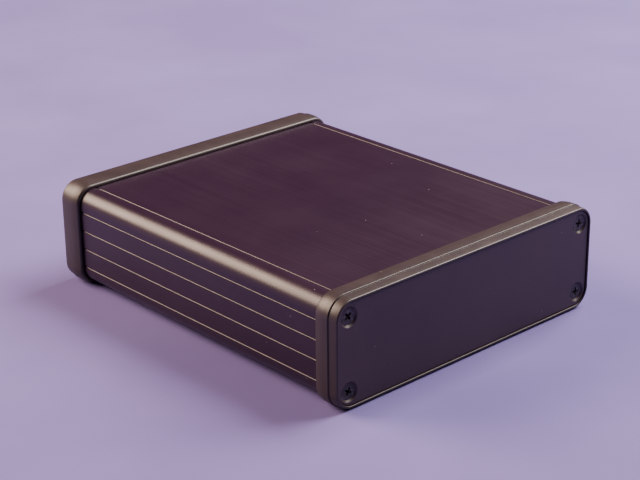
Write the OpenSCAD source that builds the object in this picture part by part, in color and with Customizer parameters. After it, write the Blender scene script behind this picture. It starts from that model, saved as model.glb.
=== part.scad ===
// Extruded aluminium enclosure for a 100 mm wide circuit card.
// One extruded body with a slide-in cover plate on its underside. Each end has a moulded
// bezel with a flat panel set in it, held by four countersunk screws that cut their
// thread in open channels of the extrusion.
// X runs along the front panel, -Y is the front, Z is up. The origin is on the surface
// that the bezels stand on, at the middle of the length and width.

/* [Body extrusion] */
// Height of the extrusion
body_h = 30.5; // [28:0.5:42]
// Length of the extrusion
body_l = 120; // [60:1:220]
// Radius of the long outer edges
body_r = 4.75; // [3.5:0.25:6]
// Thickness of the walls
wall = 1.5; // [1.2:0.1:1.8]

/* [Grooves of the body] */
// Radius of the small decorative grooves
groove_r = 0.3; // [0.15:0.05:0.4]
// Distance between the grooves of a side
side_groove_pitch = 6.1; // [4:0.1:6.8]
// Number of grooves on a side
side_grooves = 4; // [2:1:4]
// Distance of the middle of a side's grooves below the middle of its height
side_groove_drop = 0.5; // [0:0.1:1]
// Distance from the side of the body to a groove of its top
top_groove_inset = 6.3; // [6:0.1:9]

/* [Card slots] */
// Width of the circuit card, which sets the width of the enclosure
card_w = 100; // [60:0.5:160]
// Thickness of the circuit card
card_t = 1.6; // [1:0.1:2]
// Play round the edge of the card
card_gap = 0.1; // [0.05:0.05:0.2]
// Thickness of the side wall behind the edge of the card
slot_wall = 1.4; // [1.1:0.05:1.7]
// Number of slot pairs
card_slots = 3; // [1:2:3]
// Distance between the slot pairs
card_slot_pitch = 6.1; // [5:0.1:6.3]
// Thickness of a slot's rib
rib_t = 1; // [0.7:0.1:1.1]
// Distance that a rib stands out from the wall
rib_d = 1.4; // [1:0.1:2]

/* [Cover plate] */
// Thickness of the plate's tongue
tongue_t = 0.7; // [0.5:0.05:0.8]
// Width of the plate's tongue past the seam
tongue_w = 1.1; // [0.8:0.1:1.4]
// Width of the visible seam
seam_w = 0.5; // [0.3:0.05:0.7]
// Play of the tongue in its slot
tongue_gap = 0.1; // [0.05:0.05:0.2]
// Thickness of the rail that holds the tongue down
rail_t = 1; // [0.7:0.1:1.4]

/* [Bezels] */
// Length of the skirt that covers the end of the body
skirt_l = 5.5; // [4:0.1:8]
// Play between the skirt and the body
skirt_gap = 0.15; // [0.05:0.05:0.25]
// Height of the skirt's free edge above the body
skirt_h = 0.95; // [0.6:0.05:1.1]
// Height of the bezel's widest band above the body
band_h = 1.55; // [1.3:0.05:2]
// Distance from the skirt's free edge to the parting groove
band_l = 5; // [4.2:0.1:6]
// Width of the flat land beside the parting groove
land_w = 1.6; // [1.2:0.1:2.4]
// Width of the parting groove
part_groove_w = 0.45; // [0.3:0.05:0.6]
// Depth of the parting groove
part_groove_d = 0.4; // [0.2:0.05:0.5]
// Thickness of the bezel's inner flange
flange_t = 1.3; // [1:0.1:2]
// Width of the inner flange, from the outside of the body
flange_w = 2.3; // [1.8:0.1:2.8]
// Fall of the lip from the parting groove to its front edge
lip_drop = 0.15; // [0.05:0.05:0.3]
// Rounding of the lip's front edge
lip_r = 0.4; // [0.2:0.05:0.5]
// Rounding of the skirt's free edge
edge_r = 0.25; // [0.1:0.05:0.35]

/* [Panels] */
// Thickness of an end panel
panel_t = 1.5; // [1:0.1:2]
// Play between the panel and the bezel's pocket
pocket_gap = 0.25; // [0.15:0.05:0.35]
// Depth of the panel's face below the bezel's lip
panel_recess = 0.4; // [0.2:0.1:0.8]

/* [Screws] */
// Distance from the side of the body to a screw's axis
screw_side = 3.8; // [3.6:0.1:4.4]
// Distance from the top of the body to a screw's axis
screw_top = 4.05; // [3.8:0.05:4.6]
// Radius of the screw's head
head_r = 2.6; // [2.3:0.1:2.7]
// Radius of the screw's shank over its thread
shank_r = 1.45; // [1.2:0.05:1.5]
// Whole length of the screw
screw_l = 9.5; // [8:0.5:14]
// Depth of the head below the panel's face
head_sink = 0.5; // [0.2:0.05:0.6]
// Length of the arms of the driver recess
recess_w = 2.6; // [2:0.1:3]
// Width of the arms of the driver recess
recess_t = 0.7; // [0.5:0.05:0.9]
// Depth of the driver recess
recess_d = 1.1; // [0.7:0.1:1.4]
// Play of the shank in its channel
channel_gap = 0.05; // [0.03:0.01:0.1]
// Play of the shank in the bezel's hole
tab_gap = 0.3; // [0.2:0.05:0.5]
// Width of the ring of the body round a screw channel
channel_wall = 1.1; // [0.9:0.1:1.2]
// Width of the channel's slot
channel_slot = 1.2; // [0.8:0.1:1.6]
// Width of the ring of the bezel round a screw
tab_wall = 1.6; // [1.2:0.1:2]

/* [Hidden] */
$fn = 96;
// Segments of the curves of the bezel's section
crown_steps = 6;
edge_steps = 4;
// Overlap of one shape into the next, so that they join
over = 0.01;
// Width of the extrusion
body_w = card_w + 2 * (card_gap + slot_wall);
// Middle of the height above the surface that the bezels stand on
mid_z = band_h + body_h / 2;
// Inner faces of the side walls and of the top and bottom walls
inner_x = body_w / 2 - wall;
inner_y = body_h / 2 - wall;
// Centre line of the seams of the cover plate, which the grooves of the top repeat
seam_x = body_w / 2 - top_groove_inset;
// Underside of the plate's tongue, and the top of its slot
tongue_y = -inner_y - tongue_t;
tongue_slot_y = -inner_y + tongue_gap;
// Screw axes
screw_x = body_w / 2 - screw_side;
screw_y = body_h / 2 - screw_top;
channel_r = shank_r + channel_gap;
boss_r = channel_r + channel_wall;
tab_hole_r = shank_r + tab_gap;
tab_r = tab_hole_r + tab_wall;
// Planes of a bezel along its own axis, from the end of the body outwards
panel_face = flange_t + panel_t;
lip_front = panel_face + panel_recess;
groove_v = band_l - skirt_l;
// Turn of each screw's driver recess, in degrees, as the screws were tightened
front_turns = [-12, 39, -29, -6];
rear_turns = [20, 65, 5, 50];

body_colour = "#241c22";
plate_colour = "#241c22";
bezel_colour = "#2b282a";
panel_colour = "#262026";
screw_colour = "#1c1a1c";

// Points of an arc about c, from angle a0 to a1
function arc(c, r, a0, a1, steps) =
    [for (i = [0:steps]) let (a = a0 + (a1 - a0) * i / steps) c + r * [cos(a), sin(a)]];

// Radius of the arc that rises by h over the length l and is level at its top
function crown_radius(l, h) = (l * l + h * h) / (2 * h);

// The four corners of the section, in order round it
function corners(x, y) = [[x, y], [-x, y], [-x, -y], [x, -y]];

module rounded_rect(w, h, r) {
    square([w - 2 * r, h], center = true);
    square([w, h - 2 * r], center = true);
    for (c = corners(w / 2 - r, h / 2 - r)) translate(c) circle(r);
}

// Children on both sides of the middle plane
module both_sides() {
    children();
    mirror([1, 0]) children();
}

// ---- Body extrusion -------------------------------------------------------------

// Small round grooves along the sides and the top
module body_grooves() {
    first_y = -side_groove_drop - (side_grooves - 1) / 2 * side_groove_pitch;
    both_sides() {
        for (i = [0:side_grooves - 1])
            translate([body_w / 2, first_y + i * side_groove_pitch]) circle(groove_r, $fn = 24);
        translate([seam_x, body_h / 2]) circle(groove_r, $fn = 24);
    }
}

// A pair of ribs on one side wall, with the slot between them
module card_ribs() {
    rib_h = card_t + 2 * card_gap + 2 * rib_t;
    translate([inner_x - rib_d, -rib_h / 2]) square([rib_d + over, rib_h]);
}

module card_slot() {
    slot_h = card_t + 2 * card_gap;
    translate([inner_x - rib_d - over, -slot_h / 2])
        square([card_w / 2 + card_gap - inner_x + rib_d + over, slot_h]);
}

module each_card_slot() {
    for (i = [0:card_slots - 1])
        translate([0, (i - (card_slots - 1) / 2) * card_slot_pitch]) children();
}

// Rail above the cover plate's tongue, joined to the side wall
module plate_rail() {
    translate([seam_x, tongue_slot_y]) square([inner_x + over - seam_x, rail_t]);
}

// Mouth in the floor for the plate, and the slots for its tongues
module plate_mouth() {
    translate([0, -body_h / 2 - over])
        square([seam_x + seam_w / 2, wall + 2 * over]);
    translate([0, tongue_y])
        square([seam_x + tongue_w + tongue_gap, tongue_slot_y - tongue_y]);
}

// Open screw channel, with its slot towards the middle of the body
module screw_channel() {
    circle(channel_r, $fn = 48);
    translate([-boss_r - over, -channel_slot / 2]) square([boss_r, channel_slot]);
}

module body_section() {
    difference() {
        union() {
            difference() {
                rounded_rect(body_w, body_h, body_r);
                rounded_rect(2 * inner_x, 2 * inner_y, body_r - wall);
            }
            both_sides() {
                each_card_slot() card_ribs();
                plate_rail();
                for (s = [-1, 1]) translate([screw_x, s * screw_y]) circle(boss_r, $fn = 48);
            }
        }
        body_grooves();
        both_sides() {
            each_card_slot() card_slot();
            plate_mouth();
            for (s = [-1, 1]) translate([screw_x, s * screw_y]) screw_channel();
        }
    }
}

// ---- Cover plate ----------------------------------------------------------------

module plate_section() {
    both_sides() {
        translate([0, -body_h / 2]) square([seam_x - seam_w / 2, wall]);
        translate([0, tongue_y]) square([seam_x + tongue_w, tongue_t]);
    }
}

// ---- Bezel ----------------------------------------------------------------------

// Section of the bezel's rim. The first number is the distance from the centre of the
// corner's curve, the second the distance outwards from the end of the body.
module rim_section() {
    band_u = body_r + band_h;
    skirt_u = body_r + skirt_h;
    lip_u = band_u - lip_drop;
    land_v = groove_v - land_w;
    groove_v0 = groove_v - part_groove_w / 2;
    groove_v1 = groove_v + part_groove_w / 2;
    // Both crowns are level at the band and end at the centres of the edge roundings
    crown_l = land_v + skirt_l - edge_r;
    skirt_crown = crown_radius(crown_l, band_h - skirt_h);
    skirt_angle = asin(crown_l / skirt_crown);
    lip_l = lip_front - lip_r - groove_v1;
    lip_crown = crown_radius(lip_l, lip_drop);
    lip_angle = asin(lip_l / lip_crown);
    polygon(concat(
        [[body_r + skirt_gap, -skirt_l]],
        arc([skirt_u - edge_r, edge_r - skirt_l], edge_r, -90, -skirt_angle, edge_steps),
        arc([band_u - skirt_crown, land_v], skirt_crown, -skirt_angle, 0, crown_steps),
        [[band_u, groove_v0], [band_u - part_groove_d, groove_v0], [band_u - part_groove_d, groove_v1]],
        arc([band_u - lip_crown, groove_v1], lip_crown, 0, lip_angle, crown_steps),
        arc([lip_u - lip_r, lip_front - lip_r], lip_r, lip_angle, 90, edge_steps),
        [[body_r + pocket_gap, lip_front],
            [body_r + pocket_gap, flange_t],
            [body_r - flange_w, flange_t],
            [body_r - flange_w, 0],
            [body_r + skirt_gap, 0]]));
}

// Sweeps a rim section round the outline of the body, with revolved corners
module round_the_body() {
    cx = body_w / 2 - body_r;
    cy = body_h / 2 - body_r;
    for (i = [0:3]) {
        translate(corners(cx, cy)[i]) rotate(90 * i) rotate_extrude(angle = 90) children();
        run = i % 2 == 0 ? cy : cx;
        reach = i % 2 == 0 ? cx : cy;
        rotate(90 * i) translate([reach, run, 0]) rotate([90, 0, 0])
            linear_extrude(2 * run) children();
    }
}

// The bezel in its own frame, with +Z outwards from the end of the body
module bezel() {
    difference() {
        union() {
            round_the_body() rim_section();
            for (c = corners(screw_x, screw_y))
                translate(c) cylinder(r = tab_r, h = flange_t);
        }
        for (c = corners(screw_x, screw_y))
            translate([c.x, c.y, -over]) cylinder(r = tab_hole_r, h = flange_t + 2 * over);
    }
}

// ---- End panel and screws -------------------------------------------------------

// The countersink's cone goes right through the panel, and the head seats in it
module panel() {
    sink_r = head_r + head_sink;
    difference() {
        translate([0, 0, flange_t]) linear_extrude(panel_t)
            rounded_rect(body_w, body_h, body_r);
        for (c = corners(screw_x, screw_y))
            translate([c.x, c.y, flange_t - over])
                cylinder(r1 = sink_r - panel_t - over, r2 = sink_r + over, h = panel_t + 2 * over);
    }
}

// Countersunk screw with a cross recess, its head's face at z = 0
module screw() {
    head_l = head_r - shank_r;
    difference() {
        rotate_extrude($fn = 48)
            polygon([[0, 0], [head_r, 0], [shank_r, -head_l], [shank_r, -screw_l], [0, -screw_l]]);
        intersection() {
            for (a = [0, 90]) rotate(a)
                translate([-recess_w / 2, -recess_t / 2, -recess_d])
                    cube([recess_w, recess_t, recess_d + over]);
            translate([0, 0, -recess_d])
                cylinder(r1 = recess_t / 2, r2 = recess_w / 2, h = recess_d + over, $fn = 48);
        }
    }
}

module screws(turns) {
    places = corners(screw_x, screw_y);
    for (i = [0:3])
        translate([places[i].x, places[i].y, panel_face - head_sink])
            rotate(turns[i]) screw();
}

// ---- Placing --------------------------------------------------------------------

// From a piece's own frame to the front end of the body
module at_front() {
    translate([0, -body_l / 2, mid_z]) rotate([90, 0, 0]) children();
}

// From a piece's own frame to the rear end of the body
module at_rear() {
    translate([0, body_l / 2, mid_z]) rotate([90, 0, 180]) children();
}

// A section of the extrusion, over the whole length of the body
module along_body() {
    translate([0, body_l / 2, mid_z]) rotate([90, 0, 0]) linear_extrude(body_l) children();
}

module body_extrusion() {
    color(body_colour) along_body() body_section();
}

module cover_plate() {
    color(plate_colour) along_body() plate_section();
}

module front_bezel() {
    color(bezel_colour) at_front() bezel();
}

module rear_bezel() {
    color(bezel_colour) at_rear() bezel();
}

module front_panel() {
    color(panel_colour) at_front() panel();
}

module rear_panel() {
    color(panel_colour) at_rear() panel();
}

module front_screws() {
    color(screw_colour) at_front() screws(front_turns);
}

module rear_screws() {
    color(screw_colour) at_rear() screws(rear_turns);
}

body_extrusion();
cover_plate();
front_bezel();
rear_bezel();
front_panel();
rear_panel();
front_screws();
rear_screws();
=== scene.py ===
"""Extruded aluminium enclosure for a circuit card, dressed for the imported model.

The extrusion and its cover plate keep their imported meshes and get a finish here. The two
moulded bezels, the two end panels and the eight countersunk screws are modelled anew. They add
finer edges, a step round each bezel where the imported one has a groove, and screw threads.
Everything is in metres, X along the front panel, -Y towards the front and Z up.
"""

import logging
import math
from collections.abc import Callable, Iterator, Sequence
from contextlib import contextmanager
from dataclasses import dataclass, field
from enum import Enum
from typing import Any

import bmesh
import bpy
from mathutils import Matrix, Vector


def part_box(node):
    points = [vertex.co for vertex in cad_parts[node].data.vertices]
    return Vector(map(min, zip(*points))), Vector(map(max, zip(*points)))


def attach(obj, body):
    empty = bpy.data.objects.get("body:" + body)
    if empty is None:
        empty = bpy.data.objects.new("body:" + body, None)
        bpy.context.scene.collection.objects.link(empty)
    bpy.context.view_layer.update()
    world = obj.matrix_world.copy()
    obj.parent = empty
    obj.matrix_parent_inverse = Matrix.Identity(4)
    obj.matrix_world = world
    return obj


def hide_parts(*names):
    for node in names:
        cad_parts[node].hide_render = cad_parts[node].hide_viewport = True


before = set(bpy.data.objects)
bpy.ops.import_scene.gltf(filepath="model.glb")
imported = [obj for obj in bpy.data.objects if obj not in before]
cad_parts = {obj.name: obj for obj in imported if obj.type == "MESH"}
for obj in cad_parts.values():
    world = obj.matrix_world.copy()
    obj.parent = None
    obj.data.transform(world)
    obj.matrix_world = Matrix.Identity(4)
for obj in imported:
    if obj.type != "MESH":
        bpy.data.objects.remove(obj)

MM = 0.001
MERGE = 0.002 * MM
NEAR = 0.01 * MM
EASE_STEPS = 3
log = logging.getLogger("enclosure")


class End(Enum):
    """The two ends of the extrusion."""

    FRONT = "front"
    REAR = "rear"

    def place(self, body: "BodySizes") -> Matrix:
        """Gives the matrix that takes an end's own frame to its place.

        In an end's own frame Z points out of the body, and its zero is the body's end.

        Args:
            body: sizes of the extrusion.

        Returns:
            The matrix of the end.
        """
        upright = Matrix.Rotation(math.radians(90), 4, "X")
        if self is End.FRONT:
            return Matrix.Translation((0, body.front_y, body.mid_z)) @ upright
        turned = Matrix.Rotation(math.radians(180), 4, "Z")
        return Matrix.Translation((0, body.rear_y, body.mid_z)) @ turned @ upright


class Slot(Enum):
    """Material slots of the record."""

    BODY = "anodised_body"
    BEZEL = "bezel_plastic"
    PANEL = "panel_black"
    SCREW = "screw_black"


# ---- Modelling tools --------------------------------------------------------------


class Bench:
    """The modelling operators, used on one object at a time."""

    @staticmethod
    def clear() -> None:
        """Deselects every object."""
        if bpy.context.object and bpy.context.object.mode != "OBJECT":
            bpy.ops.object.mode_set(mode="OBJECT")
        bpy.ops.object.select_all(action="DESELECT")

    @staticmethod
    def take(piece: bpy.types.Object) -> None:
        """Makes a piece the only selected and the active object.

        Args:
            piece: the object to work on.
        """
        Bench.clear()
        piece.select_set(True)
        bpy.context.view_layer.objects.active = piece

    @staticmethod
    def start(name: str) -> bpy.types.Object:
        """Names the primitive that has just been added.

        Args:
            name: its name.

        Returns:
            The new object.
        """
        piece = bpy.context.object
        piece.name = name
        piece.data.name = name
        return piece

    @staticmethod
    @contextmanager
    def editing(piece: bpy.types.Object) -> Iterator[None]:
        """Keeps a piece in edit mode for the length of a with block.

        Args:
            piece: the object to edit.

        Yields:
            Nothing.
        """
        Bench.take(piece)
        bpy.ops.object.mode_set(mode="EDIT")
        yield
        bpy.ops.object.mode_set(mode="OBJECT")

    @staticmethod
    def pick_edges(piece: bpy.types.Object, test: Callable[[Vector], bool]) -> None:
        """Selects, in edit mode, the edges whose middle passes a test.

        Args:
            piece: the object being edited.
            test: takes the middle of an edge.
        """
        bpy.ops.mesh.select_mode(type="EDGE")
        bpy.ops.mesh.select_all(action="DESELECT")
        mesh = bmesh.from_edit_mesh(piece.data)
        for edge in mesh.edges:
            one, two = edge.verts
            edge.select_set(test((one.co + two.co) / 2))
        mesh.select_flush_mode()
        bmesh.update_edit_mesh(piece.data)

    @staticmethod
    def draw(name: str, points: Sequence[Vector]) -> bpy.types.Object:
        """Draws a closed outline by extruding one vertex from point to point.

        Args:
            name: the object's name.
            points: the corners of the outline, in order.

        Returns:
            An object whose mesh is the closed wire.
        """
        Bench.clear()
        bpy.ops.mesh.primitive_plane_add(size=MM, location=(0, 0, 0))
        piece = Bench.start(name)
        with Bench.editing(piece):
            bpy.ops.mesh.select_all(action="SELECT")
            bpy.ops.mesh.merge(type="CENTER")
            bpy.ops.transform.translate(value=points[0])
            for last, point in zip(points, points[1:]):
                bpy.ops.mesh.extrude_region_move(TRANSFORM_OT_translate={"value": point - last})
            mesh = bmesh.from_edit_mesh(piece.data)
            for vert in mesh.verts:
                vert.select_set(len(vert.link_edges) < 2)
            mesh.select_flush_mode()
            bmesh.update_edit_mesh(piece.data)
            bpy.ops.mesh.edge_face_add()
        return piece

    @staticmethod
    def modify(piece: bpy.types.Object, kind: str, **settings: Any) -> None:
        """Adds a modifier and applies it.

        Args:
            piece: the object.
            kind: the modifier's type.
            settings: the modifier's own settings.
        """
        Bench.take(piece)
        bpy.ops.object.modifier_add(type=kind)
        modifier = piece.modifiers[-1]
        for key, value in settings.items():
            setattr(modifier, key, value)
        bpy.ops.object.modifier_apply(modifier=modifier.name)

    @staticmethod
    def combine(piece: bpy.types.Object, tool: bpy.types.Object, operation: str) -> None:
        """Joins a tool shape to a piece or cuts it away, and removes the tool.

        Args:
            piece: the object that stays.
            tool: the closed shape that is used up.
            operation: UNION or DIFFERENCE.
        """
        Bench.modify(piece, "BOOLEAN", object=tool, operation=operation, solver="MANIFOLD")
        bpy.data.objects.remove(tool)

    @staticmethod
    def tidy(piece: bpy.types.Object) -> None:
        """Merges doubles and turns every face outwards.

        Args:
            piece: the object.
        """
        with Bench.editing(piece):
            bpy.ops.mesh.select_all(action="SELECT")
            bpy.ops.mesh.remove_doubles(threshold=MERGE)
            bpy.ops.mesh.normals_make_consistent(inside=False)

    @staticmethod
    def smooth(piece: bpy.types.Object, angle: float = 40) -> None:
        """Shades a piece smooth up to an angle, with its flats kept flat.

        Args:
            piece: the object.
            angle: edges sharper than this many degrees stay sharp.
        """
        Bench.take(piece)
        bpy.ops.object.shade_smooth_by_angle(angle=math.radians(angle))
        Bench.modify(piece, "WEIGHTED_NORMAL", keep_sharp=True)

    @staticmethod
    def settle(piece: bpy.types.Object, place: Matrix) -> None:
        """Puts a piece in its place, with its object left at the origin.

        Args:
            piece: the object.
            place: the matrix of its place.
        """
        Bench.take(piece)
        piece.matrix_world = place
        bpy.ops.object.transform_apply(location=True, rotation=True, scale=True)

    @staticmethod
    def copy(piece: bpy.types.Object, name: str) -> bpy.types.Object:
        """Copies a piece with a mesh of its own.

        Args:
            piece: the object to copy.
            name: the copy's name.

        Returns:
            The copy.
        """
        Bench.take(piece)
        bpy.ops.object.duplicate(linked=False)
        return Bench.start(name)


def arc(centre: Vector, radius: float, start: float, end: float, steps: int) -> list[Vector]:
    """Points of an arc in a plane.

    Args:
        centre: its centre.
        radius: its radius.
        start: first angle, in degrees.
        end: last angle, in degrees.
        steps: number of segments.

    Returns:
        The points, first and last included.
    """
    angles = [math.radians(start + (end - start) * i / steps) for i in range(steps + 1)]
    return [centre + radius * Vector((math.cos(a), math.sin(a))) for a in angles]


def eased(before: Vector, corner: Vector, after: Vector, radius: float) -> list[Vector]:
    """Points that round a corner of an outline.

    Args:
        before: the point before the corner.
        corner: the corner.
        after: the point after it.
        radius: radius of the rounding.

    Returns:
        The points that take the corner's place.
    """
    to_before, to_after = (before - corner).normalized(), (after - corner).normalized()
    half = to_before.angle(to_after) / 2
    centre = corner + (to_before + to_after).normalized() * radius / math.sin(half)
    first = corner + to_before * radius / math.tan(half) - centre
    last = corner + to_after * radius / math.tan(half) - centre
    points = []
    for i in range(EASE_STEPS + 1):
        mixed = first.lerp(last, i / EASE_STEPS)
        points.append(centre + mixed.normalized() * radius)
    return points


# ---- Shader tools -----------------------------------------------------------------


class Signal:
    """A number that varies over a surface. Its operators add Math nodes."""

    def __init__(self, tree: "Tree", socket: bpy.types.NodeSocket) -> None:
        """Wraps a socket.

        Args:
            tree: the material's tree.
            socket: an output socket.
        """
        self.tree = tree
        self.socket = socket

    def math(self, operation: str, *terms: "Signal | float") -> "Signal":
        """Adds a Math node.

        Args:
            operation: the node's operation.
            terms: its operands.

        Returns:
            The node's result.
        """
        node = self.tree.add("ShaderNodeMath", {"operation": operation}, dict(enumerate(terms)))
        return Signal(self.tree, node.outputs[0])

    def __add__(self, other: "Signal | float") -> "Signal":
        """Gives the sum."""
        return self.math("ADD", self, other)

    def __radd__(self, other: float) -> "Signal":
        """Gives the sum, for a number on the left."""
        return self.math("ADD", other, self)

    def __sub__(self, other: "Signal | float") -> "Signal":
        """Gives the difference."""
        return self.math("SUBTRACT", self, other)

    def __rsub__(self, other: float) -> "Signal":
        """Gives the difference, for a number on the left."""
        return self.math("SUBTRACT", other, self)

    def __mul__(self, other: "Signal | float") -> "Signal":
        """Gives the product."""
        return self.math("MULTIPLY", self, other)

    def __rmul__(self, other: float) -> "Signal":
        """Gives the product, for a number on the left."""
        return self.math("MULTIPLY", other, self)

    def __lt__(self, limit: float) -> "Signal":
        """Gives 1 where the signal is below a limit, and 0 elsewhere."""
        return self.math("LESS_THAN", self, limit)


Triple = tuple[float, float, float]
Colour = Triple


@dataclass(frozen=True)
class Dust:
    """Sparse pale specks that lie on a finish."""

    colour: Colour
    spacing: float
    radius: float
    share: float
    roughness: float


class Tree:
    """The node tree of one material, with a Principled shader."""

    def __init__(self, name: str) -> None:
        """Starts a material.

        Args:
            name: the material's name.
        """
        self.material = bpy.data.materials.new(name)
        self.material.use_nodes = True
        self.nodes = self.material.node_tree.nodes
        self.shader = self.nodes["Principled BSDF"]
        self.place = self.add("ShaderNodeTexCoord").outputs["Object"]

    def add(self, kind: str, settings: dict[str, Any] | None = None,
            values: dict[str | int, Any] | None = None) -> bpy.types.Node:
        """Adds one node.

        Args:
            kind: the node's type.
            settings: its own settings, and "stops" for a ramp's stops.
            values: numbers, colours, sockets or signals for its inputs.

        Returns:
            The node.
        """
        node = self.nodes.new(kind)
        for key, value in (settings or {}).items():
            if key == "stops":
                for stop, (at, level) in zip(node.color_ramp.elements, value):
                    stop.position = at
                    stop.color = (level, level, level, 1)
            else:
                setattr(node, key, value)
        for key, value in (values or {}).items():
            self.feed(node.inputs[key], value)
        return node

    def feed(self, socket: bpy.types.NodeSocket, value: Any) -> None:
        """Sets an input or links to it.

        Args:
            socket: the input.
            value: a number, a colour, a socket or a signal.
        """
        if isinstance(value, Signal):
            value = value.socket
        if isinstance(value, bpy.types.NodeSocket):
            self.material.node_tree.links.new(value, socket)
        elif isinstance(value, tuple) and len(value) == 3 and socket.type == "RGBA":
            socket.default_value = (*value, 1)
        else:
            socket.default_value = value

    def stretched(self, scale: Triple) -> bpy.types.NodeSocket:
        """Gives the object's coordinates, stretched along each axis.

        Args:
            scale: the factor for each axis.

        Returns:
            The coordinates' socket.
        """
        node = self.add("ShaderNodeMapping", values={"Vector": self.place, "Scale": scale})
        return node.outputs["Vector"]

    def noise(self, scale: float, detail: float = 2, stretch: Triple = (1, 1, 1),
              roughness: float = 0.5) -> Signal:
        """Adds a noise.

        Args:
            scale: features to the metre.
            detail: octaves.
            stretch: factors along each axis.
            roughness: weight of the fine octaves.

        Returns:
            The noise's value, about 0.5.
        """
        where = self.stretched(stretch)
        node = self.add("ShaderNodeTexNoise", values={
            "Vector": where, "Scale": scale, "Detail": detail, "Roughness": roughness})
        return Signal(self, node.outputs["Fac"])

    def specks(self, dust: Dust) -> Signal:
        """Adds sparse round specks.

        Args:
            dust: their spacing and radius, and the share of the places that hold one.

        Returns:
            1 in a speck, and 0 elsewhere.
        """
        node = self.add("ShaderNodeTexVoronoi", values={
            "Vector": self.place, "Scale": 1 / dust.spacing})
        chance = self.add("ShaderNodeSeparateColor", values={0: node.outputs["Color"]})
        near = Signal(self, node.outputs["Distance"]) < dust.radius / dust.spacing
        return near * (Signal(self, chance.outputs[0]) < dust.share)

    def dusted(self, colour: bpy.types.NodeSocket, rough: Signal,
               dust: Dust) -> bpy.types.Material:
        """Finishes the shader with specks over a colour and a roughness.

        Args:
            colour: the clean colour.
            rough: the clean roughness.
            dust: the specks.

        Returns:
            The material.
        """
        specks = self.specks(dust)
        return self.finish(base_color=self.blend(specks, colour, dust.colour),
                           roughness=rough + specks * dust.roughness)

    def blend(self, mask: Signal, low: Any, high: Any) -> bpy.types.NodeSocket:
        """Mixes two colours.

        Args:
            mask: 0 for the first colour, 1 for the second.
            low: the first colour.
            high: the second colour.

        Returns:
            The mixed colour's socket.
        """
        node = self.add("ShaderNodeMix", {"data_type": "RGBA"}, {0: mask, 6: low, 7: high})
        return node.outputs[2]

    def ramp(self, signal: Signal, low: float, high: float) -> Signal:
        """Spreads part of a signal's range over 0 to 1.

        Args:
            signal: the signal.
            low: its value that becomes 0.
            high: its value that becomes 1.

        Returns:
            The spread signal, held between 0 and 1.
        """
        node = self.add("ShaderNodeMapRange", {"clamp": True}, {
            "Value": signal, "From Min": low, "From Max": high})
        return Signal(self, node.outputs[0])

    def bump(self, height: Signal, depth: float, strength: float) -> None:
        """Feeds the shader's normal from a height.

        Args:
            height: the height, from 0 to 1.
            depth: the height of 1, in metres.
            strength: share of the effect.
        """
        node = self.add("ShaderNodeBump", values={
            "Height": height, "Distance": depth, "Strength": strength})
        self.feed(self.shader.inputs["Normal"], node.outputs["Normal"])

    def finish(self, **values: Any) -> bpy.types.Material:
        """Sets or links the shader's inputs.

        Args:
            values: inputs by name, with _ for a space.

        Returns:
            The material.
        """
        for key, value in values.items():
            self.feed(self.shader.inputs[key.replace("_", " ").title()], value)
        return self.material


# ---- Finishes ---------------------------------------------------------------------


@dataclass(frozen=True)
class SatinAnodising:
    """Black anodising on an extrusion, with the die's fine lines along it."""

    name: str = "satin_anodising"
    dark: Colour = (0.013, 0.0025, 0.013)
    light: Colour = (0.020, 0.005, 0.019)
    dust: Dust = Dust((0.30, 0.27, 0.28), 4 * MM, 0.13 * MM, 0.12, 0.4)
    rough: float = 0.38
    rough_play: float = 0.10
    line_depth: float = 0.004 * MM
    line_strength: float = 0.6
    line_scale: Triple = (2400, 12, 2400)
    broad_scale: Triple = (160, 6, 160)
    cloud_scale: float = 45
    etch_scale: float = 9000
    tone_range: tuple[float, float] = (0.3, 0.7)

    def build(self) -> bpy.types.Material:
        """Makes the material.

        Returns:
            The material.
        """
        tree = Tree(self.name)
        lines = tree.noise(1, 3, self.line_scale, 0.6)
        broad = tree.noise(1, 2, self.broad_scale)
        cloud = tree.noise(self.cloud_scale, 3)
        etch = tree.noise(self.etch_scale, 1)
        tone = tree.ramp(lines * 0.5 + cloud * 0.3 + broad * 0.2, *self.tone_range)
        rough = self.rough + (lines - 0.5) * self.rough_play + (cloud - 0.5) * self.rough_play
        tree.bump(lines * 0.7 + etch * 0.3, self.line_depth, self.line_strength)
        return tree.dusted(tree.blend(tone, self.dark, self.light), rough, self.dust)


@dataclass(frozen=True)
class SatinSheet:
    """Black anodising on flat sheet, with a fine even etch."""

    name: str = "satin_sheet"
    dark: Colour = (0.033, 0.018, 0.024)
    light: Colour = (0.043, 0.024, 0.031)
    dust: Dust = Dust((0.30, 0.28, 0.30), 3.5 * MM, 0.14 * MM, 0.25, 0.35)
    rough: float = 0.42
    rough_play: float = 0.12
    grain_play: float = 0.06
    etch_depth: float = 0.004 * MM
    etch_strength: float = 0.6
    grain_scale: Triple = (900, 900, 260)
    cloud_scale: float = 60
    etch_scale: float = 7000
    tone_range: tuple[float, float] = (0.35, 0.65)

    def build(self) -> bpy.types.Material:
        """Makes the material.

        Returns:
            The material.
        """
        tree = Tree(self.name)
        grain = tree.noise(1, 2, self.grain_scale)
        cloud = tree.noise(self.cloud_scale, 3)
        etch = tree.noise(self.etch_scale, 2)
        tone = tree.ramp(cloud * 0.7 + grain * 0.3, *self.tone_range)
        rough = self.rough + (cloud - 0.5) * self.rough_play + (grain - 0.5) * self.grain_play
        tree.bump(etch * 0.8 + grain * 0.2, self.etch_depth, self.etch_strength)
        return tree.dusted(tree.blend(tone, self.dark, self.light), rough, self.dust)


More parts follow.
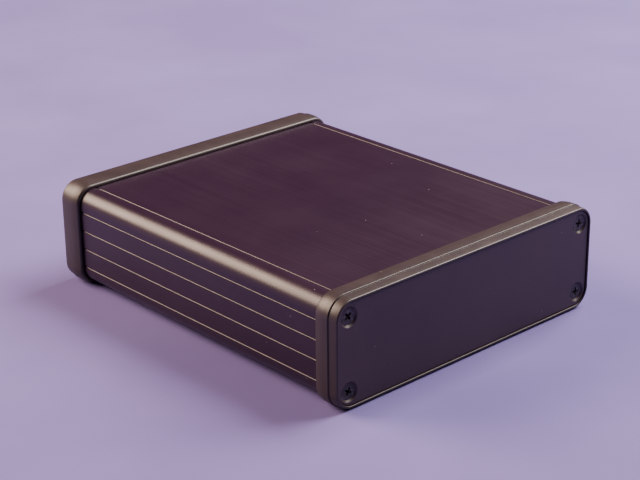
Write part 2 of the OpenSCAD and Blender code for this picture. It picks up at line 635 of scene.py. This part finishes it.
@dataclass(frozen=True)
class MouldedPlastic:
    """Black moulded plastic with a fine spark-eroded texture."""

    name: str = "moulded_plastic"
    dark: Colour = (0.026, 0.017, 0.018)
    light: Colour = (0.038, 0.025, 0.026)
    dust: Dust = Dust((0.34, 0.31, 0.30), 3 * MM, 0.12 * MM, 0.3, 0.3)
    rough: float = 0.42
    rough_play: float = 0.12
    grain_depth: float = 0.012 * MM
    grain_strength: float = 0.7
    grain_scale: float = 5200
    flow_scale: float = 120
    tone_range: tuple[float, float] = (0.35, 0.65)

    def build(self) -> bpy.types.Material:
        """Makes the material.

        Returns:
            The material.
        """
        tree = Tree(self.name)
        grain = tree.noise(self.grain_scale, 3, roughness=0.65)
        flow = tree.noise(self.flow_scale, 3)
        tone = tree.ramp(grain * 0.4 + flow * 0.6, *self.tone_range)
        rough = self.rough + (flow - 0.5) * self.rough_play + (grain - 0.5) * self.rough_play
        tree.bump(grain, self.grain_depth, self.grain_strength)
        return tree.dusted(tree.blend(tone, self.dark, self.light), rough, self.dust)


@dataclass(frozen=True)
class BlackedSteel:
    """Blacked steel of the screws, a little rubbed."""

    name: str = "blacked_steel"
    dark: Colour = (0.040, 0.034, 0.037)
    light: Colour = (0.110, 0.098, 0.100)
    rough: float = 0.36
    rough_play: float = 0.2
    grain_depth: float = 0.006 * MM
    grain_strength: float = 0.6
    grain_scale: float = 4200
    rub_scale: float = 900
    rub_range: tuple[float, float] = (0.5, 0.72)
    rub_shine: float = 0.06
    metal: float = 0.55

    def build(self) -> bpy.types.Material:
        """Makes the material.

        Returns:
            The material.
        """
        tree = Tree(self.name)
        grain = tree.noise(self.grain_scale, 3, roughness=0.6)
        rub = tree.ramp(tree.noise(self.rub_scale, 3), *self.rub_range)
        colour = tree.blend(rub, self.dark, self.light)
        rough = self.rough + (grain - 0.5) * self.rough_play - rub * self.rub_shine
        tree.bump(grain, self.grain_depth, self.grain_strength)
        return tree.finish(base_color=colour, roughness=rough, metallic=self.metal)


@dataclass(frozen=True)
class PaleBoard:
    """Plain pale floor with a faint tooth."""

    name: str = "pale_floor"
    dark: Colour = (0.155, 0.120, 0.34)
    light: Colour = (0.178, 0.140, 0.38)
    cloud_scale: float = 14
    tone_range: tuple[float, float] = (0.35, 0.65)
    rough: float = 0.9

    def build(self) -> bpy.types.Material:
        """Makes the material.

        Returns:
            The material.
        """
        tree = Tree(self.name)
        tone = tree.ramp(tree.noise(self.cloud_scale, 3), *self.tone_range)
        return tree.finish(base_color=tree.blend(tone, self.dark, self.light),
                           roughness=self.rough)


class Paints:
    """Every finish of the enclosure, made once."""

    def __init__(self) -> None:
        """Makes the materials."""
        self.materials = {
            Slot.BODY: SatinAnodising().build(),
            Slot.BEZEL: MouldedPlastic().build(),
            Slot.PANEL: SatinSheet().build(),
            Slot.SCREW: BlackedSteel().build(),
        }

    def dress(self, piece: bpy.types.Object, slot: Slot, *nodes: str) -> None:
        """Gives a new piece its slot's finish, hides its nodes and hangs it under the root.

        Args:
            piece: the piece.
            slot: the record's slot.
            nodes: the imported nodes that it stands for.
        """
        piece.data.materials.clear()
        piece.data.materials.append(self.materials[slot])
        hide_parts(*nodes)
        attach(piece, "root")

    def coat(self, node: str, slot: Slot) -> None:
        """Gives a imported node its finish.

        Args:
            node: the node's name.
            slot: the record's slot.
        """
        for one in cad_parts[node].material_slots:
            one.material = self.materials[slot]


# ---- Sub-assemblies ---------------------------------------------------------------


@dataclass(frozen=True)
class BodySizes:
    """Sizes of the extrusion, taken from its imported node."""

    width: float
    height: float
    front_y: float
    rear_y: float
    mid_z: float
    edge_r: float = 4.75 * MM
    screw_side: float = 3.8 * MM
    screw_top: float = 4.05 * MM

    @classmethod
    def read(cls) -> "BodySizes":
        """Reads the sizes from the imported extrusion.

        Returns:
            The sizes.
        """
        low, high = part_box("body_extrusion")
        size = high - low
        return cls(size.x, size.z, low.y, high.y, (low.z + high.z) / 2)

    def corners(self, x: float, y: float) -> list[Vector]:
        """Gives the same place at each corner of the section.

        Args:
            x: distance from the middle plane.
            y: distance from mid height.

        Returns:
            The four places, in order round the section.
        """
        return [Vector((sx * x, sy * y, 0)) for sx, sy in ((1, 1), (-1, 1), (-1, -1), (1, -1))]

    def screw_places(self) -> list[Vector]:
        """Gives the four screw axes of an end.

        Returns:
            Their places, from the middle of the section.
        """
        return self.corners(self.width / 2 - self.screw_side, self.height / 2 - self.screw_top)


@dataclass
class Bezel:
    """Moulded bezel: a skirt over the body, a band, and a lower lip past a small step."""

    body: BodySizes
    end: End
    skirt_l: float = 5.5 * MM
    skirt_gap: float = 0.15 * MM
    skirt_h: float = 1.2 * MM
    band_h: float = 1.55 * MM
    band_l: float = 5.45 * MM
    land_w: float = 1.6 * MM
    step_h: float = 0.32 * MM
    step_r: float = 0.22 * MM
    flange_t: float = 1.3 * MM
    flange_w: float = 2.3 * MM
    lip_drop: float = 0.18 * MM
    lip_r: float = 0.4 * MM
    lip_front: float = 3.2 * MM
    edge_r: float = 0.8 * MM
    pocket_gap: float = 0.25 * MM
    ring_r: float = 3.35 * MM
    hole_r: float = 1.75 * MM
    mouth_r: float = 0.2 * MM
    fine_r: float = 0.08 * MM
    step_foot_r: float = 0.04 * MM
    sharp_below: float = 120
    hole_over: float = 0.5 * MM
    corner_steps: int = 20
    crown_steps: int = 10
    free_edge_steps: int = 7
    disc_sides: int = 48

    def crown(self, top: float, at: float, length: float, drop: float, ease: float,
              end: float) -> list[Vector]:
        """Gives half of a crowned face, from its level top to its rounded free edge.

        Args:
            top: height of the level top.
            at: place of the level top along the section.
            length: length to the middle of the edge's rounding, with its sign.
            drop: how far the face falls.
            ease: radius of the edge's rounding.
            end: place of the free edge.

        Returns:
            The points, from the top outwards.
        """
        side = math.copysign(1, length)
        radius = (length * length + drop * drop) / (2 * drop)
        angle = math.degrees(math.asin(abs(length) / radius))
        middle = Vector((top - radius, at))
        face = arc(middle, radius, 0, side * angle, self.crown_steps)
        centre = Vector((top - drop - ease, end - side * ease))
        edge = arc(centre, ease, side * angle, side * 90, self.free_edge_steps)
        return face + edge[1:]

    def section(self) -> list[Vector]:
        """Gives the rim's section.

        Returns:
            The points. The first number is the distance from the centre of the corner's
            curve, and the second is the distance outwards from the body's end.
        """
        r = self.body.edge_r
        band = r + self.band_h
        step = self.band_l - self.skirt_l
        land = step - self.land_w
        skirt = self.crown(band, land, self.edge_r - self.skirt_l - land,
                           self.band_h - self.skirt_h, self.edge_r, -self.skirt_l)
        lip_top = band - self.step_h
        lip = self.crown(lip_top, step, self.lip_front - self.lip_r - step,
                         self.lip_drop, self.lip_r, self.lip_front)
        eases = [(Vector((band, step)), self.step_r),
                 (Vector((lip_top, step)), self.step_foot_r),
                 (Vector((r + self.pocket_gap, self.lip_front)), self.mouth_r)]
        turns = [
            *skirt[::-1],
            Vector((band, step)),
            *lip,
            Vector((r + self.pocket_gap, self.lip_front)),
            Vector((r + self.pocket_gap, self.flange_t)),
            Vector((r - self.flange_w, self.flange_t)),
            Vector((r - self.flange_w, 0)),
            Vector((r + self.skirt_gap, 0)),
            Vector((r + self.skirt_gap, -self.skirt_l)),
        ]
        points = []
        for i, corner in enumerate(turns):
            last, following = turns[i - 1], turns[(i + 1) % len(turns)]
            if (last - corner).angle(following - corner) < math.radians(self.sharp_below):
                near = [ease for at, ease in eases if (corner - at).length < NEAR]
                points += eased(last, corner, following, near[0] if near else self.fine_r)
            else:
                points.append(corner)
        return points

    def sweep(self) -> bpy.types.Object:
        """Sweeps the section round the body's outline, corners spun and sides extruded.

        Returns:
            The closed rim, in the end's own frame.
        """
        half_w = self.body.width / 2 - self.body.edge_r
        half_h = self.body.height / 2 - self.body.edge_r
        points = [Vector((0, half_h + u, v)) for u, v in self.section()]
        rim = Bench.draw(f"{self.end.value}_bezel_piece", points)
        legs = [((half_w, half_h), (half_w, 0)), ((half_w, -half_h), (0, -2 * half_h)),
                ((-half_w, -half_h), (-2 * half_w, 0)), ((-half_w, half_h), (0, 2 * half_h))]
        with Bench.editing(rim):
            bpy.ops.mesh.select_all(action="SELECT")
            for centre, (dx, dy) in legs:
                bpy.ops.mesh.extrude_region_move(TRANSFORM_OT_translate={"value": (dx, dy, 0)})
                bpy.ops.mesh.spin(steps=self.corner_steps, angle=math.radians(90),
                                  center=(*centre, 0), axis=(0, 0, 1))
            bpy.ops.mesh.extrude_region_move(TRANSFORM_OT_translate={"value": (half_w, 0, 0)})
        Bench.tidy(rim)
        return rim

    def discs(self, radius: float, over: float) -> bpy.types.Object:
        """Makes a disc at each screw.

        Args:
            radius: radius of the discs.
            over: how far they pass the flange on each side.

        Returns:
            One object with the four discs.
        """
        Bench.clear()
        made = []
        for place in self.body.screw_places():
            bpy.ops.mesh.primitive_cylinder_add(
                vertices=self.disc_sides, radius=radius, depth=self.flange_t + 2 * over,
                location=(place.x, place.y, self.flange_t / 2))
            made.append(bpy.context.object)
        Bench.clear()
        for one in made:
            one.select_set(True)
        bpy.context.view_layer.objects.active = made[0]
        bpy.ops.object.join()
        bpy.ops.object.transform_apply(location=True, rotation=True, scale=True)
        return bpy.context.object

    def build(self) -> bpy.types.Object:
        """Models the bezel.

        Returns:
            The bezel, in its place.
        """
        rim = self.sweep()
        Bench.combine(rim, self.discs(self.ring_r, 0), "UNION")
        Bench.combine(rim, self.discs(self.hole_r, self.hole_over), "DIFFERENCE")
        Bench.tidy(rim)
        Bench.smooth(rim)
        Bench.settle(rim, self.end.place(self.body))
        return rim

    def dress(self, piece: bpy.types.Object, paints: Paints) -> None:
        """Gives the bezel its finish.

        Args:
            piece: the bezel.
            paints: the finishes.
        """
        paints.dress(piece, Slot.BEZEL, f"{self.end.value}_bezel")


@dataclass
class Panel:
    """Flat end panel with four countersunk holes and eased edges."""

    body: BodySizes
    end: End
    seat: float = 1.3 * MM
    thickness: float = 1.5 * MM
    sink_r: float = 3.1 * MM
    ease: float = 0.12 * MM
    ease_steps: int = 3
    ease_above: float = 35
    sink_over: float = 0.2 * MM
    sink_sides: int = 64
    corner_steps: int = 16

    def build(self) -> bpy.types.Object:
        """Models the panel.

        Returns:
            The panel, in its place.
        """
        Bench.clear()
        bpy.ops.mesh.primitive_plane_add(size=1, location=(0, 0, 0))
        plate = Bench.start(f"{self.end.value}_panel_piece")
        with Bench.editing(plate):
            bpy.ops.mesh.select_all(action="SELECT")
            bpy.ops.transform.resize(value=(self.body.width, self.body.height, 1))
            bpy.ops.transform.translate(value=(0, 0, self.seat))
            bpy.ops.mesh.bevel(offset=self.body.edge_r, segments=self.corner_steps,
                               affect="VERTICES")
            bpy.ops.mesh.select_all(action="SELECT")
            bpy.ops.mesh.extrude_region_move(
                TRANSFORM_OT_translate={"value": (0, 0, self.thickness)})
        Bench.tidy(plate)
        over = self.sink_over
        for place in self.body.screw_places():
            Bench.clear()
            bpy.ops.mesh.primitive_cone_add(
                vertices=self.sink_sides, radius1=self.sink_r - self.thickness - over,
                radius2=self.sink_r + over, depth=self.thickness + 2 * over,
                location=(place.x, place.y, self.seat + self.thickness / 2))
            Bench.combine(plate, bpy.context.object, "DIFFERENCE")
        Bench.tidy(plate)
        Bench.modify(plate, "BEVEL", width=self.ease, segments=self.ease_steps,
                     limit_method="ANGLE", angle_limit=math.radians(self.ease_above))
        Bench.smooth(plate)
        Bench.settle(plate, self.end.place(self.body))
        return plate

    def dress(self, piece: bpy.types.Object, paints: Paints) -> None:
        """Gives the panel its finish.

        Args:
            piece: the panel.
            paints: the finishes.
        """
        paints.dress(piece, Slot.PANEL, f"{self.end.value}_panel")


@dataclass
class Screws:
    """Countersunk thread-cutting screws with a cross recess, four to an end."""

    body: BodySizes
    head_r: float = 2.6 * MM
    rim_t: float = 0.12 * MM
    shank_r: float = 1.45 * MM
    thread_d: float = 0.28 * MM
    pitch: float = 1.1 * MM
    length: float = 9.5 * MM
    tip_l: float = 0.9 * MM
    recess_w: float = 2.6 * MM
    recess_t: float = 0.7 * MM
    recess_d: float = 1.1 * MM
    recess_above: float = 0.3 * MM
    recess_taper: float = 0.42
    ridge_slope: float = 3.2
    point_share: float = 0.55
    smooth_below: float = 32
    face_z: float = 2.3 * MM
    steps: int = 8
    sides: int = 32
    turns: dict[End, tuple[float, ...]] = field(default_factory=lambda: {
        End.FRONT: (-12, 39, -29, -6), End.REAR: (20, 65, 5, 50)})

    def thread(self, point: Vector) -> float:
        """Gives the radius of the threaded shank.

        Args:
            point: a point of the shank.

        Returns:
            The radius there.
        """
        phase = (point.z / self.pitch + math.atan2(point.y, point.x) / math.tau) % 1
        ridge = max(0.0, 1 - abs(phase - 0.5) * self.ridge_slope)
        return self.shank_r - self.thread_d * (1 - ridge)

    def cross(self) -> bpy.types.Object:
        """Models the tapered cross that cuts the driver recess.

        Returns:
            The closed cutting shape.
        """
        Bench.clear()
        above = self.recess_above
        bpy.ops.mesh.primitive_plane_add(size=self.recess_t, location=(0, 0, above))
        tool = Bench.start("recess_tool")
        reach = (self.recess_w - self.recess_t) / 2
        with Bench.editing(tool):
            for side in (Vector((1, 0, 0)), Vector((0, 1, 0)), Vector((-1, 0, 0)),
                         Vector((0, -1, 0))):
                Bench.pick_edges(tool, lambda middle, s=side:
                                 (middle.xy - s.xy * self.recess_t / 2).length < NEAR)
                bpy.ops.mesh.extrude_region_move(TRANSFORM_OT_translate={"value": side * reach})
            bpy.ops.mesh.select_all(action="SELECT")
            bpy.ops.mesh.extrude_region_move(
                TRANSFORM_OT_translate={"value": (0, 0, -above - self.recess_d)})
            bpy.ops.transform.resize(value=(self.recess_taper, self.recess_taper, 1),
                                     center_override=(0, 0, 0))
        Bench.settle(tool, Matrix())
        Bench.tidy(tool)
        return tool

    def model(self) -> bpy.types.Object:
        """Models one screw, its head's face at zero and its tip pointing down.

        Returns:
            The screw.
        """
        Bench.clear()
        bpy.ops.mesh.primitive_circle_add(vertices=self.sides, radius=self.head_r - self.rim_t,
                                          fill_type="NGON", location=(0, 0, 0))
        screw = Bench.start("screw")
        head_l = self.head_r - self.shank_r
        core = self.shank_r - self.thread_d
        step = self.pitch / self.steps
        rings = int((self.length - head_l - self.tip_l) / step)
        stops = [(self.head_r, -self.rim_t), (self.head_r, -self.rim_t * 1.5),
                 (self.shank_r, -head_l)]
        stops += [(self.shank_r, -head_l - step * (i + 1)) for i in range(rings)]
        stops += [(core, -self.length + self.tip_l * 0.4),
                  (core * self.point_share, -self.length)]
        with Bench.editing(screw):
            bpy.ops.mesh.select_all(action="SELECT")
            width, depth = self.head_r - self.rim_t, 0.0
            for next_width, next_depth in stops:
                bpy.ops.mesh.extrude_region_move(
                    TRANSFORM_OT_translate={"value": (0, 0, next_depth - depth)})
                scale = next_width / width
                bpy.ops.transform.resize(value=(scale, scale, 1), center_override=(0, 0, 0))
                width, depth = next_width, next_depth
        low = -self.length + self.tip_l * 0.5
        for vert in screw.data.vertices:
            if low < vert.co.z < -head_l - step * 0.5:
                flat = Vector((vert.co.x, vert.co.y, 0)).normalized() * self.thread(vert.co)
                vert.co.x, vert.co.y = flat.x, flat.y
        Bench.tidy(screw)
        Bench.combine(screw, self.cross(), "DIFFERENCE")
        Bench.tidy(screw)
        Bench.smooth(screw, self.smooth_below)
        return screw

    def build(self) -> list[tuple[End, bpy.types.Object]]:
        """Copies the screw to its eight places, each turned as it was tightened.

        Returns:
            Each end with each of its screws.
        """
        first = self.model()
        made = []
        for end, angles in self.turns.items():
            for i, (place, angle) in enumerate(zip(self.body.screw_places(), angles)):
                screw = Bench.copy(first, f"{end.value}_screw_{i + 1}")
                own = Matrix.Translation(place + Vector((0, 0, self.face_z)))
                turned = Matrix.Rotation(math.radians(angle), 4, "Z")
                Bench.settle(screw, end.place(self.body) @ own @ turned)
                made.append((end, screw))
        bpy.data.objects.remove(first)
        return made

    def dress(self, end: End, piece: bpy.types.Object, paints: Paints) -> None:
        """Gives a screw its finish.

        Args:
            end: the end that the screw holds.
            piece: the screw.
            paints: the finishes.
        """
        paints.dress(piece, Slot.SCREW, f"{end.value}_screws")


# ---- Studio -----------------------------------------------------------------------


@dataclass(frozen=True)
class ViewPoint:
    """The camera, aimed at a point of the object."""

    azimuth: float = -42.37
    elevation: float = 22.61
    distance: float = 0.53993
    target: tuple[float, float, float] = (0.00265, 0.00359, 0.01575)
    roll: float = -0.56
    lens: float = 97.1
    sensor: float = 36

    def build(self) -> None:
        """Makes the camera and makes it the scene's own."""
        a, e, r = (math.radians(v) for v in (self.azimuth, self.elevation, self.roll))
        back = Vector((math.sin(a) * math.cos(e), -math.cos(a) * math.cos(e), math.sin(e)))
        right = (-back).cross(Vector((0, 0, 1))).normalized()
        up = right.cross(-back)
        x = math.cos(r) * right + math.sin(r) * up
        y = -math.sin(r) * right + math.cos(r) * up
        place = Matrix((x, y, back)).transposed().to_4x4()
        place.translation = Vector(self.target) + back * self.distance
        Bench.clear()
        bpy.ops.object.camera_add()
        camera = bpy.context.object
        camera.name = "camera"
        camera.data.lens = self.lens
        camera.data.sensor_width = self.sensor
        camera.matrix_world = place
        bpy.context.scene.camera = camera


@dataclass(frozen=True)
class SoftBox:
    """A square soft light."""

    name: str
    azimuth: float
    elevation: float
    distance: float
    size: float
    power: float
    colour: Colour = (1, 1, 1)

    def build(self) -> None:
        """Makes the light, facing the object."""
        a, e = math.radians(self.azimuth), math.radians(self.elevation)
        away = Vector((math.sin(a) * math.cos(e), math.cos(a) * math.cos(e), math.sin(e)))
        Bench.clear()
        bpy.ops.object.light_add(type="AREA", location=away * self.distance)
        lamp = bpy.context.object
        lamp.name = self.name
        lamp.data.size = self.size
        lamp.data.energy = self.power
        lamp.data.color = self.colour
        lamp.rotation_euler = (-away).to_track_quat("-Z", "Y").to_euler()


@dataclass(frozen=True)
class Studio:
    """Plain pale floor and soft light."""

    lights: tuple[SoftBox, ...] = (
        SoftBox("front_right_box", 104, 48, 0.9, 0.6, 24.0, (1.0, 0.90, 0.84)),
        SoftBox("back_left_box", -34, 32, 0.9, 0.55, 19.0, (1.0, 0.74, 0.58)),
    )
    air: Colour = (0.050, 0.042, 0.070)
    floor_size: float = 8.0

    def build(self) -> None:
        """Makes the floor, the lights and the world."""
        Bench.clear()
        bpy.ops.mesh.primitive_plane_add(size=self.floor_size, location=(0, 0, 0))
        floor = Bench.start("floor")
        floor.data.materials.append(PaleBoard().build())
        for light in self.lights:
            light.build()
        world = bpy.data.worlds.new("studio_air")
        world.use_nodes = True
        world.node_tree.nodes["Background"].inputs["Color"].default_value = (*self.air, 1)
        bpy.context.scene.world = world


def main() -> None:
    """Builds the enclosure and its studio."""
    logging.basicConfig(level=logging.INFO, format="%(name)s: %(message)s")
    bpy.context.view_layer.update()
    paints = Paints()
    body = BodySizes.read()
    for node in ("body_extrusion", "cover_plate"):
        paints.coat(node, Slot.BODY)
        log.info("%s: packed node, dressed", node)
    for end in End:
        for maker in (Bezel(body, end), Panel(body, end)):
            piece = maker.build()
            maker.dress(piece, paints)
            log.info("%s: %d faces", piece.name, len(piece.data.polygons))
    screws = Screws(body)
    for end, piece in screws.build():
        screws.dress(end, piece, paints)
        log.info("%s: %d faces", piece.name, len(piece.data.polygons))
    Studio().build()
    ViewPoint().build()
    Bench.clear()


if __name__ == "__main__":
    main()
